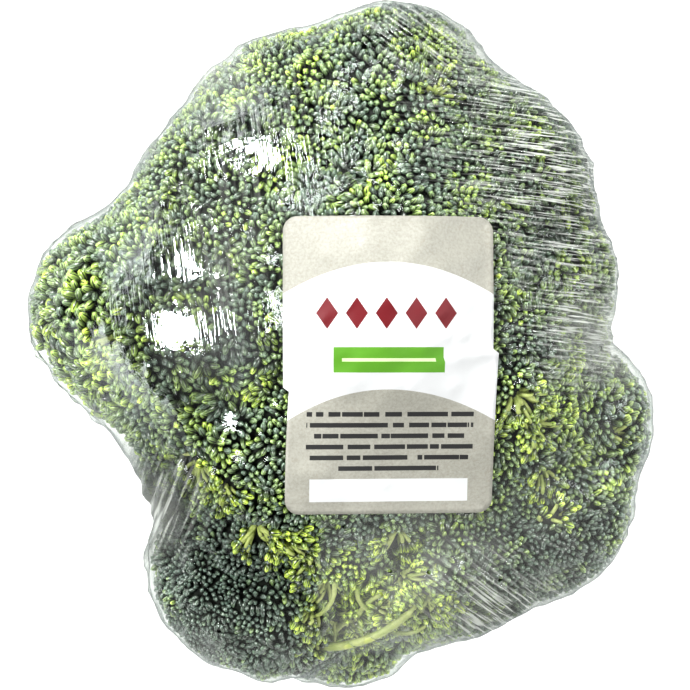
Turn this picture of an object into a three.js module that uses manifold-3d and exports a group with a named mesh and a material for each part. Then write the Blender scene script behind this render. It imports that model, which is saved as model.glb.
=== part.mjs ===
// A head of broccoli in clear shrink film with a plain paper label, standing on its cut stalk.
// Millimetres, +Z up, crown upwards. The origin is the middle of the foot, the flat film under the stalk.

import * as THREE from "three";
import { mergeVertices } from "three/addons/utils/BufferGeometryUtils.js";
import Module from "manifold-3d";

const wasm = await Module();
wasm.setup();

// Gaps between neighbouring pieces
const CLEARANCE = 0.4;

// The film, much thicker than life so that it is a solid
const FILM_THICKNESS = 0.6;
const FILM_SLACK = 0.9;
const FILM_CENTRE = new THREE.Vector3(0, 0, 58);
const FILM_START = 130;
const FILM_DETAIL = 8;
const FILM_PASSES = 400;

// The film's flat foot: its rim, and the slightly wider column that the film stands off round it
const FOOT_RIM = 21.5;
const FOOT_COLUMN = 23.5;
const FOOT_SNAP = 0.5;

// The breathing holes in the film
const VENT_COUNT = 16;
const VENT_RADIUS = 0.8;
const VENT_DEPTH = 4;
const VENT_SIDES = 6;
const VENT_MARGIN = 3;

// The stalk, from its cut end up to the broad head that carries the middle lobes
const STALK_BOTTOM = FILM_THICKNESS + CLEARANCE;
const STALK_RADIUS = 18.5;
const STALK_BEVEL = 2;
const STALK_HEIGHT = 50;
const STALK_HEAD = 30;
const STALK_SIDES = 14;

// The stalk's outline: its waist, its belly and its head, in shares of its radius and height
const STALK_WAIST = { out: 0.93, up: 0.25 };
const STALK_BELLY = { out: 1.05, up: 0.5 };
const STALK_HEAD_UP = 0.84;
const STALK_HEAD_TOP = 0.9;

// The branches, which carry the lobes further out than the stalk's head
const BRANCHED_FROM = 40;
const BRANCH_DROP = 36;
const BRANCH_LOWEST = 13;
const BRANCH_ELBOW_OUT = 0.62;
const BRANCH_ELBOW_UP = 0.3;
const BRANCH_SHARE = 0.32;
const BRANCH_FLARE = 1.2;
const BRANCH_SINK = 0.35;
const BRANCH_SIDES = 8;
const BRANCH_STEPS = 3;

// The florets: knobs of buds that stand out of each lobe's core
const FLORET_SPACING = 15;
const FLORET_RADIUS = 9;
const FLORET_SPREAD = 0.14;
const FLORET_RISE = 5;
const FLORET_HIDDEN = 0.5;
const FLORET_SEED = 11;

// The lobes' cores: how far round the dome goes, and the neck under it, in shares of its radius
const LOBE_EDGE = THREE.MathUtils.degToRad(112);
const LOBE_NECK = 0.42;
const LOBE_DEPTH = 0.72;
const LOBE_SIDES = 9;
const LOBE_RINGS = 4;

// The lobes of the crown: the middle of each dome, from the foot, and its radius over the florets
const LOBES = {
  summit: { at: [7, 12, 76], radius: 36 },
  upper_left: { at: [-20, 32, 69], radius: 31.5 },
  top_left: { at: [-14, 53, 60], radius: 24 },
  top: { at: [12, 55, 63], radius: 28 },
  upper_right: { at: [34, 38, 64], radius: 26 },
  right: { at: [43, 17, 62], radius: 23 },
  left: { at: [-51, 9, 58], radius: 26 },
  left_middle: { at: [-28, 6, 70], radius: 33 },
  lower_middle: { at: [-12, -20, 67], radius: 34 },
  right_middle: { at: [28, -4, 69], radius: 30 },
  lower_left: { at: [-22, -57, 54], radius: 25 },
  lower_right: { at: [23, -48, 54], radius: 27 },
  far_right: { at: [48, -39, 54], radius: 23 },
  low_right: { at: [56, -20, 52], radius: 20 },
  bottom: { at: [1, -67, 38], radius: 18 },
};

// The label, as it lies over the crown
const LABEL_MIDDLE = new THREE.Vector2(10.3, -5);
const LABEL_WIDTH = 50;
const LABEL_LENGTH = 71;
const LABEL_CORNER = 3.5;
const LABEL_THICKNESS = 0.6;
const LABEL_GAP = 0.9;
const LABEL_COLUMNS = 9;
const LABEL_ROWS = 13;

const UP = new THREE.Vector3(0, 0, 1);
const DOWN = new THREE.Vector3(0, 0, -1);
const LATHE_AXIS = new THREE.Vector3(0, 1, 0);
const GOLDEN_RATIO = (1 + Math.sqrt(5)) / 2;
const GOLDEN_ANGLE = Math.PI * (3 - Math.sqrt(5));
const WHOLE_SPHERE = 2;
const FAR_OFF = 200;
const WELD = 1e-3;

// A repeatable stream of numbers from 0 to 1
function seededRandom(seed) {
  let state = seed >>> 0;
  return () => {
    state = (state + 0x6d2b79f5) >>> 0;
    let mixed = Math.imul(state ^ (state >>> 15), 1 | state);
    mixed = (mixed + Math.imul(mixed ^ (mixed >>> 7), 61 | mixed)) ^ mixed;
    return ((mixed ^ (mixed >>> 14)) >>> 0) / 4294967296;
  };
}

const random = seededRandom(FLORET_SEED);

// Directions spread evenly by the golden angle over a cap of the unit sphere about +Z
function spread(count, capHeight) {
  return Array.from({ length: count }, (_, i) => {
    const height = 1 - (capHeight * (i + 0.5)) / count;
    const across = Math.sqrt(1 - height * height);
    const turn = i * GOLDEN_ANGLE;
    return new THREE.Vector3(across * Math.cos(turn), across * Math.sin(turn), height);
  });
}

// A geometry with only its points left, and those that coincide merged
function welded(geometry) {
  geometry.deleteAttribute("normal");
  geometry.deleteAttribute("uv");
  return mergeVertices(geometry, WELD);
}

function toSolid(geometry) {
  const closed = welded(geometry);
  const vertProperties = new Float32Array(closed.attributes.position.array);
  const triVerts = new Uint32Array(closed.index.array);
  return new wasm.Manifold(new wasm.Mesh({ numProp: 3, vertProperties, triVerts }));
}

function toGeometry(solid) {
  const mesh = solid.getMesh();
  const geometry = new THREE.BufferGeometry();
  geometry.setAttribute("position", new THREE.BufferAttribute(mesh.vertProperties, 3));
  geometry.setIndex(new THREE.BufferAttribute(mesh.triVerts, 1));
  geometry.computeVertexNormals();
  return geometry;
}

// The main body of a solid, without the scraps that cutting leaves
function mainBody(solid) {
  return solid.decompose().reduce((best, body) => (body.volume() > best.volume() ? body : best));
}

// Points of an open or closed surface as a geometry
function surface(points, triangles) {
  const geometry = new THREE.BufferGeometry().setFromPoints(points);
  geometry.setIndex(triangles);
  geometry.computeVertexNormals();
  return geometry;
}

function pointsOf(geometry, attribute = "position") {
  const values = geometry.attributes[attribute];
  return Array.from({ length: values.count }, (_, i) => new THREE.Vector3().fromBufferAttribute(values, i));
}

// Turns a shape made along +Y to stand along an axis at a place
function placed(geometry, at, axis) {
  const turn = new THREE.Quaternion().setFromUnitVectors(LATHE_AXIS, axis);
  return geometry.applyQuaternion(turn).translate(at.x, at.y, at.z);
}

// Each lobe with its middle, where its branch leaves the stalk and bends, and the way its dome faces
const lobes = Object.values(LOBES).map(({ at, radius }) => {
  const middle = new THREE.Vector3(...at);
  const fork = new THREE.Vector3(0, 0, Math.max(middle.z - BRANCH_DROP, BRANCH_LOWEST));
  const elbow = middle.clone().multiplyScalar(BRANCH_ELBOW_OUT);
  elbow.setZ(THREE.MathUtils.lerp(fork.z, middle.z, BRANCH_ELBOW_UP));
  const axis = middle.clone().sub(elbow).normalize();
  return { middle, radius, fork, elbow, axis };
});

// A round tube along a curve whose radius runs evenly from one end to the other, with flat ends
function taperedTube(curve, startRadius, endRadius) {
  const { normals, binormals } = curve.computeFrenetFrames(BRANCH_STEPS);
  const points = [];
  const triangles = [];
  for (let step = 0; step <= BRANCH_STEPS; step++) {
    const along = step / BRANCH_STEPS;
    const middle = curve.getPointAt(along);
    const radius = THREE.MathUtils.lerp(startRadius, endRadius, along);
    for (let side = 0; side < BRANCH_SIDES; side++) {
      const angle = (2 * Math.PI * side) / BRANCH_SIDES;
      points.push(
        middle
          .clone()
          .addScaledVector(normals[step], radius * Math.cos(angle))
          .addScaledVector(binormals[step], radius * Math.sin(angle)),
      );
    }
  }
  for (let step = 0; step < BRANCH_STEPS; step++) {
    for (let side = 0; side < BRANCH_SIDES; side++) {
      const a = step * BRANCH_SIDES + side;
      const b = step * BRANCH_SIDES + ((side + 1) % BRANCH_SIDES);
      triangles.push(a, b, a + BRANCH_SIDES, b, b + BRANCH_SIDES, a + BRANCH_SIDES);
    }
  }
  const last = BRANCH_STEPS * BRANCH_SIDES;
  for (let side = 1; side < BRANCH_SIDES - 1; side++) {
    triangles.push(0, side + 1, side, last, last + side, last + side + 1);
  }
  return surface(points, triangles);
}

// The stalk and its branches as one solid, grown by a margin on every side but its cut end
function stalkSolid(margin) {
  const radius = STALK_RADIUS + margin;
  const profile = [
    [0, STALK_BOTTOM],
    [radius - STALK_BEVEL, STALK_BOTTOM],
    [radius, STALK_BOTTOM + STALK_BEVEL],
    [radius * STALK_WAIST.out, STALK_HEIGHT * STALK_WAIST.up],
    [radius * STALK_BELLY.out, STALK_HEIGHT * STALK_BELLY.up],
    [STALK_HEAD + margin, STALK_HEIGHT * STALK_HEAD_UP],
    [STALK_HEAD * STALK_HEAD_TOP + margin, STALK_HEIGHT + margin],
    [0, STALK_HEIGHT + margin],
  ].map(([x, y]) => new THREE.Vector2(x, y));
  const trunk = placed(new THREE.LatheGeometry(profile, STALK_SIDES), new THREE.Vector3(), UP);
  const branches = lobes
    .filter(({ middle }) => Math.hypot(middle.x, middle.y) > BRANCHED_FROM)
    .map((lobe) => {
      const tip = lobe.middle.clone().addScaledVector(lobe.axis, margin - BRANCH_SINK * lobe.radius);
      const line = new THREE.QuadraticBezierCurve3(lobe.fork, lobe.elbow, tip);
      const tipRadius = BRANCH_SHARE * lobe.radius + margin;
      return toSolid(taperedTube(line, tipRadius * BRANCH_FLARE, tipRadius));
    });
  return wasm.Manifold.union([toSolid(trunk), ...branches]);
}

// A lobe's core: a dome that draws in to its branch underneath
function lobeCore({ middle, radius, axis }) {
  const dome = radius - FLORET_RISE;
  const depth = -LOBE_DEPTH * dome;
  const profile = [new THREE.Vector2(0, depth), new THREE.Vector2(LOBE_NECK * dome, depth)];
  for (let ring = 0; ring <= LOBE_RINGS; ring++) {
    const polar = LOBE_EDGE * (1 - ring / LOBE_RINGS);
    profile.push(new THREE.Vector2(dome * Math.sin(polar), dome * Math.cos(polar)));
  }
  return toSolid(placed(new THREE.LatheGeometry(profile, LOBE_SIDES), middle, axis));
}

// True where a point lies well inside another lobe, so that a floret there would not show
function hidden(point, own) {
  return lobes.some(
    (other) => other !== own && point.distanceTo(other.middle) < other.radius - FLORET_RISE - FLORET_HIDDEN,
  );
}

// A lobe's florets, spread over its dome, each at the middle of a six-sided cell
function floretsOf(lobe) {
  const dome = lobe.radius - FLORET_RISE;
  const capHeight = 1 - Math.cos(LOBE_EDGE);
  const cell = (FLORET_SPACING ** 2 * Math.sqrt(3)) / 2;
  const count = Math.round((2 * Math.PI * dome * dome * capHeight) / cell);
  const toAxis = new THREE.Quaternion().setFromUnitVectors(UP, lobe.axis);
  const florets = [];
  for (const out of spread(count, capHeight)) {
    const size = FLORET_RADIUS * (1 + FLORET_SPREAD * (2 * random() - 1));
    const spin = new THREE.Euler(2 * Math.PI * random(), 2 * Math.PI * random(), 2 * Math.PI * random());
    const at = out.applyQuaternion(toAxis).multiplyScalar(lobe.radius - size).add(lobe.middle);
    if (hidden(at, lobe)) continue;
    const knob = new THREE.IcosahedronGeometry(size, 0);
    knob.applyQuaternion(new THREE.Quaternion().setFromEuler(spin)).translate(at.x, at.y, at.z);
    florets.push(toSolid(knob));
  }
  return florets;
}

// The crown: every lobe with its florets, fused, and bored for the stalk's branches
function crownSolid() {
  const whole = wasm.Manifold.union(lobes.flatMap((lobe) => [lobeCore(lobe), ...floretsOf(lobe)]));
  return mainBody(whole.subtract(stalkSolid(CLEARANCE)));
}

// How far the head reaches from the film's centre along a direction
function reach(direction) {
  const stand = CLEARANCE + FILM_THICKNESS + FILM_SLACK;
  let far = 0;
  for (const { middle, radius } of lobes) {
    const toMiddle = middle.clone().sub(FILM_CENTRE);
    const along = toMiddle.dot(direction);
    const inside = along * along - toMiddle.lengthSq() + (radius + stand) ** 2;
    if (inside > 0) far = Math.max(far, along + Math.sqrt(inside));
  }
  if (direction.z < 0) {
    const toFoot = -FILM_CENTRE.z / direction.z;
    const toSide = FOOT_COLUMN / Math.hypot(direction.x, direction.y);
    far = Math.max(far, Math.min(toFoot, toSide));
  }
  return far;
}

// The film's outside: a ball whose points draw in to the middle of their neighbours
// until the head stops them
function filmSkin() {
  const ball = welded(new THREE.IcosahedronGeometry(1, FILM_DETAIL));
  const corner = new THREE.Vector3(-1, GOLDEN_RATIO, 0).normalize();
  ball.applyQuaternion(new THREE.Quaternion().setFromUnitVectors(corner, DOWN));
  const directions = pointsOf(ball).map((point) => point.normalize());
  const triangles = Array.from(ball.index.array);
  const neighbours = directions.map(() => new Set());
  for (let i = 0; i < triangles.length; i += 3) {
    for (let side = 0; side < 3; side++) {
      const a = triangles[i + side];
      const b = triangles[i + ((side + 1) % 3)];
      neighbours[a].add(b);
      neighbours[b].add(a);
    }
  }
  const stops = directions.map(reach);
  const distances = directions.map(() => FILM_START);
  const middle = new THREE.Vector3();
  for (let pass = 0; pass < FILM_PASSES; pass++) {
    directions.forEach((direction, i) => {
      middle.set(0, 0, 0);
      for (const j of neighbours[i]) middle.addScaledVector(directions[j], distances[j]);
      distances[i] = Math.max(stops[i], middle.dot(direction) / neighbours[i].size);
    });
  }
  const points = directions.map((direction, i) => {
    const point = direction.clone().multiplyScalar(distances[i]).add(FILM_CENTRE);
    if (point.z < FOOT_SNAP) point.z = 0;
    return point;
  });
  points.forEach((point, i) => {
    const onRim = point.z === 0 && [...neighbours[i]].some((j) => points[j].z > 0);
    if (onRim) point.setLength(FOOT_RIM);
  });
  return surface(points, triangles);
}

// A surface moved along its normals
function offset(geometry, distance) {
  const normals = pointsOf(geometry, "normal");
  const points = pointsOf(geometry).map((point, i) => point.addScaledVector(normals[i], distance));
  return surface(points, Array.from(geometry.index.array));
}

// Breathing holes through the film, spread evenly, clear of the label and the foot
function vents(skin) {
  const target = new THREE.Mesh(skin);
  const holes = [];
  for (const out of spread(VENT_COUNT, WHOLE_SPHERE)) {
    const outside = out.clone().multiplyScalar(FAR_OFF).add(FILM_CENTRE);
    const [hit] = new THREE.Raycaster(outside, out.clone().negate()).intersectObject(target);
    const besideX = Math.abs(hit.point.x - LABEL_MIDDLE.x) - LABEL_WIDTH / 2;
    const besideY = Math.abs(hit.point.y - LABEL_MIDDLE.y) - LABEL_LENGTH / 2;
    const underLabel = out.z > 0 && Math.max(besideX, besideY) < VENT_MARGIN;
    if (underLabel || hit.point.z < VENT_MARGIN) continue;
    const hole = new THREE.CylinderGeometry(VENT_RADIUS, VENT_RADIUS, VENT_DEPTH, VENT_SIDES);
    holes.push(toSolid(placed(hole, hit.point, hit.face.normal)));
  }
  return holes;
}

function filmSolid(skin) {
  const outside = toSolid(skin.clone());
  const inside = toSolid(offset(skin, -FILM_THICKNESS));
  return outside.subtract(inside).subtract(wasm.Manifold.union(vents(skin)));
}

// A thin plate of even thickness from an open surface, which is its underside
function plate(underside, thickness) {
  const lower = pointsOf(underside);
  const upper = pointsOf(offset(underside, thickness));
  const count = lower.length;
  const faces = Array.from(underside.index.array);
  const edges = new Map();
  const triangles = [];
  for (let i = 0; i < faces.length; i += 3) {
    const corners = faces.slice(i, i + 3);
    triangles.push(...corners.map((c) => c + count), corners[0], corners[2], corners[1]);
    corners.forEach((a, side) => {
      const b = corners[(side + 1) % 3];
      if (!edges.delete(`${b},${a}`)) edges.set(`${a},${b}`, [a, b]);
    });
  }
  for (const [a, b] of edges.values()) {
    triangles.push(a, b, b + count, a, b + count, a + count);
  }
  return surface([...lower, ...upper], triangles);
}

// The label: a rectangle with rounded corners, laid down on the film
function labelGeometry(skin) {
  const target = new THREE.Mesh(skin);
  const sheet = welded(new THREE.PlaneGeometry(LABEL_WIDTH, LABEL_LENGTH, LABEL_COLUMNS, LABEL_ROWS));
  const inner = new THREE.Vector2(LABEL_WIDTH / 2 - LABEL_CORNER, LABEL_LENGTH / 2 - LABEL_CORNER);
  const points = pointsOf(sheet).map((point) => {
    const nearest = new THREE.Vector2(point.x, point.y).clamp(inner.clone().negate(), inner);
    const past = new THREE.Vector2(point.x, point.y).sub(nearest).clampLength(0, LABEL_CORNER);
    const spot = nearest.add(past).add(LABEL_MIDDLE);
    const above = new THREE.Vector3(spot.x, spot.y, FAR_OFF);
    return new THREE.Raycaster(above, DOWN).intersectObject(target)[0].point;
  });
  const onFilm = surface(points, Array.from(sheet.index.array));
  return plate(offset(onFilm, LABEL_GAP), LABEL_THICKNESS);
}

const MATERIALS = {
  crown: new THREE.MeshStandardMaterial({ color: 0x4f6b2f, roughness: 0.75 }),
  stalk: new THREE.MeshStandardMaterial({ color: 0xb9c98a, roughness: 0.6 }),
  film: new THREE.MeshStandardMaterial({
    color: 0xeef2f2,
    roughness: 0.12,
    transparent: true,
    opacity: 0.15,
  }),
  label: new THREE.MeshStandardMaterial({ color: 0xd9d3bd, roughness: 0.7 }),
};

function piece(name, geometry) {
  const mesh = new THREE.Mesh(geometry, MATERIALS[name]);
  mesh.name = name;
  return mesh;
}

const skin = filmSkin();
const broccoli = new THREE.Group();
broccoli.add(
  piece("stalk", toGeometry(stalkSolid(0))),
  piece("crown", toGeometry(crownSolid())),
  piece("film", toGeometry(filmSolid(skin))),
  piece("label", labelGeometry(skin)),
);

export default broccoli;
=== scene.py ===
"""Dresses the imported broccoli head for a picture.

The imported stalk, crown, film and label give the shapes. This script smooths the crown and covers it
with flower buds, adds loose florets, and gives the stalk, the film and the label their fine form and
their materials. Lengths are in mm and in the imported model's frame until a mesh is made.
"""

import itertools
import math

import bmesh
import bpy
import numpy as np
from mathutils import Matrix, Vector
from mathutils.bvhtree import BVHTree
from mathutils.kdtree import KDTree


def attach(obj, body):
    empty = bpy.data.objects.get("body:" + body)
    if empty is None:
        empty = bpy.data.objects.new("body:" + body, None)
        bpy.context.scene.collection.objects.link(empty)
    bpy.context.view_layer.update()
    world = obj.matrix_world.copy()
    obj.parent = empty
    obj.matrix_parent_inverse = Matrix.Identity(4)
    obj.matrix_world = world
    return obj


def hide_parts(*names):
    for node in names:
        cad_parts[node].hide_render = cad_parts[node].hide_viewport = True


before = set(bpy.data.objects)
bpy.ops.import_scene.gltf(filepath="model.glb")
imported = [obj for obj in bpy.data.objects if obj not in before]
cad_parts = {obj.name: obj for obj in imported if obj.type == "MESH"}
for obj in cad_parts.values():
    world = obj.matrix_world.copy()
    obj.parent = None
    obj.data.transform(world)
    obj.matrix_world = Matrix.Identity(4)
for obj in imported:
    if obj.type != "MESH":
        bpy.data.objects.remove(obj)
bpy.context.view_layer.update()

MM = 0.001
SEED = 7
UPRIGHT = 0.9
PATCH_FADE = 1.4
RAY_START = 0.3

# Soft noise: the numbers that scramble a place into a value. Each use gives its lumps' size and a seed
NOISE_MIXERS = (73856093, 19349663, 83492791)
NOISE_SEED_STEP = 40503
NOISE_SCRAMBLE = 1274126177
NOISE_MASK = 0x7FFFFFFF
NOISE_LEVELS = 0xFFFF

# The crown under the buds, and the stalk with its pale and dark flesh
CROWN_VOXEL = 1.4
CROWN_SWELL = 4.0
CROWN_SHRINK = 2.4
CROWN_SMOOTHING = 8
CROWN_FILM_ROOM = 2.6
CROWN_CLOSING = 13.0
CROWN_SIDE_CLOSING = 26.0
FACING_GAIN = 2.0
FACING_CUT = 0.4
STALK_VOXEL = 1.0
STALK_SMOOTHING = 10
STALK_FLESH = ((0.56, 0.62, 0.32), (0.32, 0.42, 0.15))
STEM_FLESH = ((0.58, 0.62, 0.26), (0.34, 0.42, 0.12))

# Flower buds
BUD_CANDIDATES = 260000
BUD_SIDES = 8
BUD_RING_HEIGHTS = (-0.42, -0.12, 0.20, 0.42)
BUD_RING_RADII = (0.28, 0.47, 0.46, 0.27)
SEAM_DEPTH = 0.2
BUD_SPACING = 1.26
BUD_SPACING_VARIES = 0.4
SPACING_NOISE = (16.0, 1)
# Patches of larger buds, or with a minus sign smaller ones: x, y, reach, how much
SPACING_PATCHES = (
    (-62, 4, 22, 0.6),
    (-34, -20, 20, 0.2),
    (-26, -62, 24, -0.36),
    (50, -50, 26, -0.22),
)
BUD_FILL = 1.5
BUD_MIDDLE_WIDTH = 0.86
BUD_OUTER_WIDER = 0.18
BUD_WIDTH_VARIES = 0.07
BUD_LENGTH = 1.72
BUD_LENGTH_VARIES = 0.3
LENGTH_NOISE = (14.0, 5)
BUD_SUNK = 0.1
BUD_LOWERED = 0.6
BUD_LOWEST_NORMAL = -0.35
BUD_FREE_ROOM = 3.0
BUDS_PER_PIECE = 3000
MAP_MARGIN = 0.1
CLUSTER_SPACING = 5.8
CLUSTER_REACH = 4.2
CLUSTER_EDGE = 1.2
CLUSTER_RISE = 1.3
CLUSTER_TILT = 1.0
CLUSTER_PULL = 0.10
LEAN_NOISE = ((6.5, 21), (6.5, 22), (6.5, 23))
LEAN = 2.6
BUD_ASKEW = 0.36

# Patches where the buds are more yellow, or with a minus sign more blue: x, y, reach, how much
TONE_PATCHES = (
    (-62, 2, 20, 0.24),
    (-12, 76, 14, 0.16),
    (14, 54, 22, -0.10),
    (62, 18, 12, 0.12),
    (-27, 12, 16, -0.12),
    (-36, -24, 18, 0.04),
    # The next two darken the lower-left lobe's buds to blue-green: partly their own tone, partly painted
    # shade on that lobe.
    (-28, -66, 22, -0.32),
    (-32, -54, 16, -0.22),
    (4, -62, 13, 0.34),
    (21, -63, 8, 0.24),
    (46, -52, 22, -0.16),
    (52, -20, 20, 0.12),
)
TONE_MIDDLE = 0.42
# Random patches of tone: size, how much and seed
TONE_NOISE = ((9.0, 0.42, 3), (3.0, 0.252, 4))
TONE_BUD_VARIES = 0.13
CLUSTER_TONE_VARIES = 0.38
CLUSTER_TONE_POWER = 3
CLUSTER_TONE_SHIFT = 0.2
CLUSTER_TONE_NOISE = (1.0, 9)

# Loose florets: x, y of the root, number of stems, how far they reach, where they point in degrees
FLORETS = (
    (-35, -27, 16, 8.0, 250),
    (-29, -33, 10, 6.0, 300),
    (-21, -43, 16, 7.5, 290),
    (-15, -47, 14, 7.0, 320),
    (-8, -50, 10, 6.0, 240),
    (-4, -57, 16, 9.0, 270),
    (-2, -66, 16, 9.0, 300),
    (6, -70, 14, 8.0, 240),
    (13, -45, 14, 7.0, 270),
    (13, -56, 14, 8.0, 330),
    (19, -60, 16, 8.0, 280),
    (41, -11, 18, 9.0, 300),
    (45, -19, 14, 7.0, 330),
    (48, -30, 10, 6.0, 280),
    (-55, 2, 10, 6.0, 200),
    (22, 60, 8, 5.0, 80),
    (-8, -65, 10, 6.0, 280),
    (-7, -73, 8, 5.0, 270),
    (20, -61, 14, 8.0, 290),
    (66, -22, 4, 5.0, 20),
    (49, -43, 4, 6.0, 30),
    (8, -64, 16, 7.0, 330),
    (0, -70, 14, 7.0, 20),
    (14, -67, 14, 6.0, 200),
    (20, -64, 12, 6.0, 60),
)
# Pale stems that show between the florets: x, y of one end, x, y of the other, radius, bow to one side
PALE_STEMS = (
    (-6, -75, 19, -62, 0.95, 3.0),
    (-4, -74, 5, -67, 0.8, -2.0),
    (3, -58, 9, -66, 0.55, 2.5),
    (17, -57, 26, -64, 0.55, -2.5),
    (-3, -56, -8, -67, 0.55, -2.5),
    (2, -72, 12, -60, 0.6, -3.0),
    (8, -69, 22, -67, 0.5, 3.0),
)
PALE_STEM_ARCH = 2.2
FLORET_FAN = 1.5
FLORET_NEAREST = 0.12
FLORET_UPWARD = 0.6
FLORET_LIFT = (0.7, 2.1)
FLORET_ARCH = (0.8, 2.4)
FLORET_BEND_VARIES = 0.8
FLORET_TONE = 0.84
FLORET_TONE_VARIES = 0.1
FLORET_BUD_WIDTH = 2.1
FLORET_BUD_LENGTH = 3.1
FLORET_BUD_VARIES = (0.85, 1.15)
FLORET_BUD_LIFT = 0.4
FLORET_BUD_OUT = 0.3
FLORET_SUNK = 3.0
FLORET_CLEARING = 0.36
SIDE_BUDS = 2
SIDE_BUD_SIZE = 0.72
SIDE_BUD_AWAY = 1.3
SIDE_BUD_TILT = 0.35
PEDICEL_RADIUS = 0.5
STEM_SIDES = 6
STEM_STEPS = 6
STEM_ROOT_WIDTH = 1.25
STEM_TAPER = 0.35

# Branchlets under the lobes
BRANCHLET_CANDIDATES = 26000
BRANCHLET_SPACING = 8.0
BRANCHLET_RADIUS = 1.5
BRANCHLET_VARIES = (0.8, 1.3)
BRANCHLET_BEND = 0.75
BRANCHLET_STEEPEST = -0.62
BRANCHLET_IN = 0.30
BRANCHLET_DROP = 10.0
BRANCHLET_SAG = 3.0

# Film
FILM_CENTRE = np.array([0.0, 0.0, 58.0])
FILM_START = 200.0
FILM_DETAIL = 7
FILM_TOP_FINER = 0.3
FILM_THICKNESS = 0.1
FILM_GAP = 0.2
FILM_TIGHTER = 1.2
FILM_LOW_FADE = 2.0
FILM_DENT = 3.0
# Where the film stands further out than packed, or with a minus sign further in: x, y, reach, how much
FILM_SHIFTS = (
    (66, 0, 11, -3.5),
    (35, 73, 10, -1.8),
    (16, 87, 10, 1.8),
    (-29, 73, 10, -1.8),
    (-63, 32, 12, -3.5),
    (-71, -9, 12, -2.4),
    (-56, -26, 10, 2.2),
    (-48, -42, 10, -4.5),
    (-9, -86, 12, 2.5),
    (29, -74, 13, -2.4),
)
FILM_RELAX = 8
# Patches where the film is stretched smooth and clear of the buds: x, y, reach, how much
TAUT_PATCHES = ((-42, 3, 20, 1), (-22, 48, 15, 1))
# Patches where the film shines more: x, y, reach, how much
SHINE_PATCHES = (
    (-42, 3, 20, 1), (-24, 50, 12, 1), (-50, 4, 13, 1), (-40, 22, 11, 1), (-32, -4, 12, 1),
)
TAUT_LIFT = 1.0
TAUT_PASSES = 100
VENT_RADIUS = 0.65
VENT_RIM = 0.13
VENT_RIM_AWAY = 0.05
VENT_RIM_SIDES = 14
VENT_RIM_ROUND = 6
# Breathing holes: x, y on the upper side
VENTS = (
    (11, -55), (21, -55.5), (38, -58), (1.3, -56.7), (4.5, -56.5), (9.5, -60.5),
    (63, 0), (-5, -47), (-0.3, -43.5), (-30, 40), (22, 62), (-55, -12), (-30, -70),
)
# Folds in the film: x, y, reach, direction of the folds in degrees, distance between folds, height
FOLDS = (
    (52, 38, 27, -4, 4.6, 0.42),
    (58, 4, 15, 6, 3.8, 0.5),
    (-46, -42, 14, 62, 4.6, 1.1),
    (44, -66, 18, 42, 4.4, 0.4),
    (30, 70, 18, -20, 4.4, 0.4),
)
FOLD_STRETCH = 5.0
FOLD_WANDERS = 5.0
FOLD_WANDER_NOISE = (3.0, 31)
FOLD_BREAK_NOISE = (4.0, 32)
FOLD_BREAKS = 2.0
FOLD_NOISE_STEP = 10.0

# Patches of milky film and of fine stretch lines: x, y, reach, strength
FILM_PATCHES = {
    "haze": (
        (-44, 40, 32, 0.10), (56, 28, 30, 0.12), (40, 62, 24, 0.12),
        (48, -54, 28, 0.5), (66, -24, 20, 0.35), (-49, -40, 10, 2.0), (62, 2, 11, 1.6),
        (-36, -80, 12, 0.8), (-34, 70, 10, 0.8), (-28, 24, 15, 0.3), (-34, 2, 15, 0.5),
        (-10, -80, 14, 0.5),
    ),
    "lines_across": ((57, 30, 26, 1.0), (46, 58, 24, 1.0), (58, 2, 14, 0.8)),
    "lines_upright": ((-34, 18, 20, 1.0), (-20, 50, 20, 1.7)),
    "lines_notch": ((-46, -38, 13, 1.2),),
    "lines_slanting": ((38, -67, 18, 1.2), (20, 78, 16, 0.8)),
}
PATCH_LEAST = 0.6
PATCH_VARIES = 0.8
PATCH_NOISE = (7.0, 41)
# The second layer of film over the front: x, y, reach; then the x of its edge and how that wanders
OVERLAP_PATCH = (12, -60, 27)
OVERLAP_MILKY = 1.0
OVERLAP_EDGE = -6.5
OVERLAP_WANDERS = 1.5
OVERLAP_NOISE = (6.0, 51)
# Stretch lines: name, their direction in degrees, how far apart in mm, how milky (painted highlights along
# the lines), how much painted shade between
FILM_LINES = (
    ("lines_across", -6, 0.45, 0.32, 0.16),
    ("lines_upright", 98, 0.8, 0.05, 0.0),
    ("lines_slanting", -38, 0.6, 0.28, 0.16),
    ("lines_notch", 66, 1.0, 0.2, 0.6),
)
LINE_LENGTH = 20.0
LINE_CUT = (0.48, 0.64)
LINE_RELIEF = 0.7
# How milky the film is, and how much it mirrors: everywhere, where it shines, and at its edges
HAZE_MILKY = 0.10
EDGE_MILKY = 0.05
EDGE_MILKY_POWER = 4.0
MIRROR_LEAST = 0.006
MIRROR_SHINING = 0.15
MIRROR_EDGE = 0.22
MIRROR_EDGE_POWER = 5.0

# Label
LABEL_MIDDLE = (10.3, -5.0)
LABEL_WIDTH = 50.0
LABEL_HEIGHT = 71.0
LABEL_CORNER = 3.5
# Print on the label: lower and upper edge of each block, and how far it reaches to each side
BAND = (30.0, 60.0)
BAND_ARCH = -0.012
BAR = (34.0, 40.0, 13.0)
BAR_LINE = (36.6, 37.4, 11.0)
FOOT_PANEL = (3.0, 8.5, 19.0)
# The row of diamonds: its height, the step along it, half a diamond's width, its squatness, the row's reach
DIAMOND_ROW = 48.0
DIAMOND_STEP = 7.0
DIAMOND_HALF = 2.6
DIAMOND_SQUAT = 0.7
DIAMOND_REACH = 17.5
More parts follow.
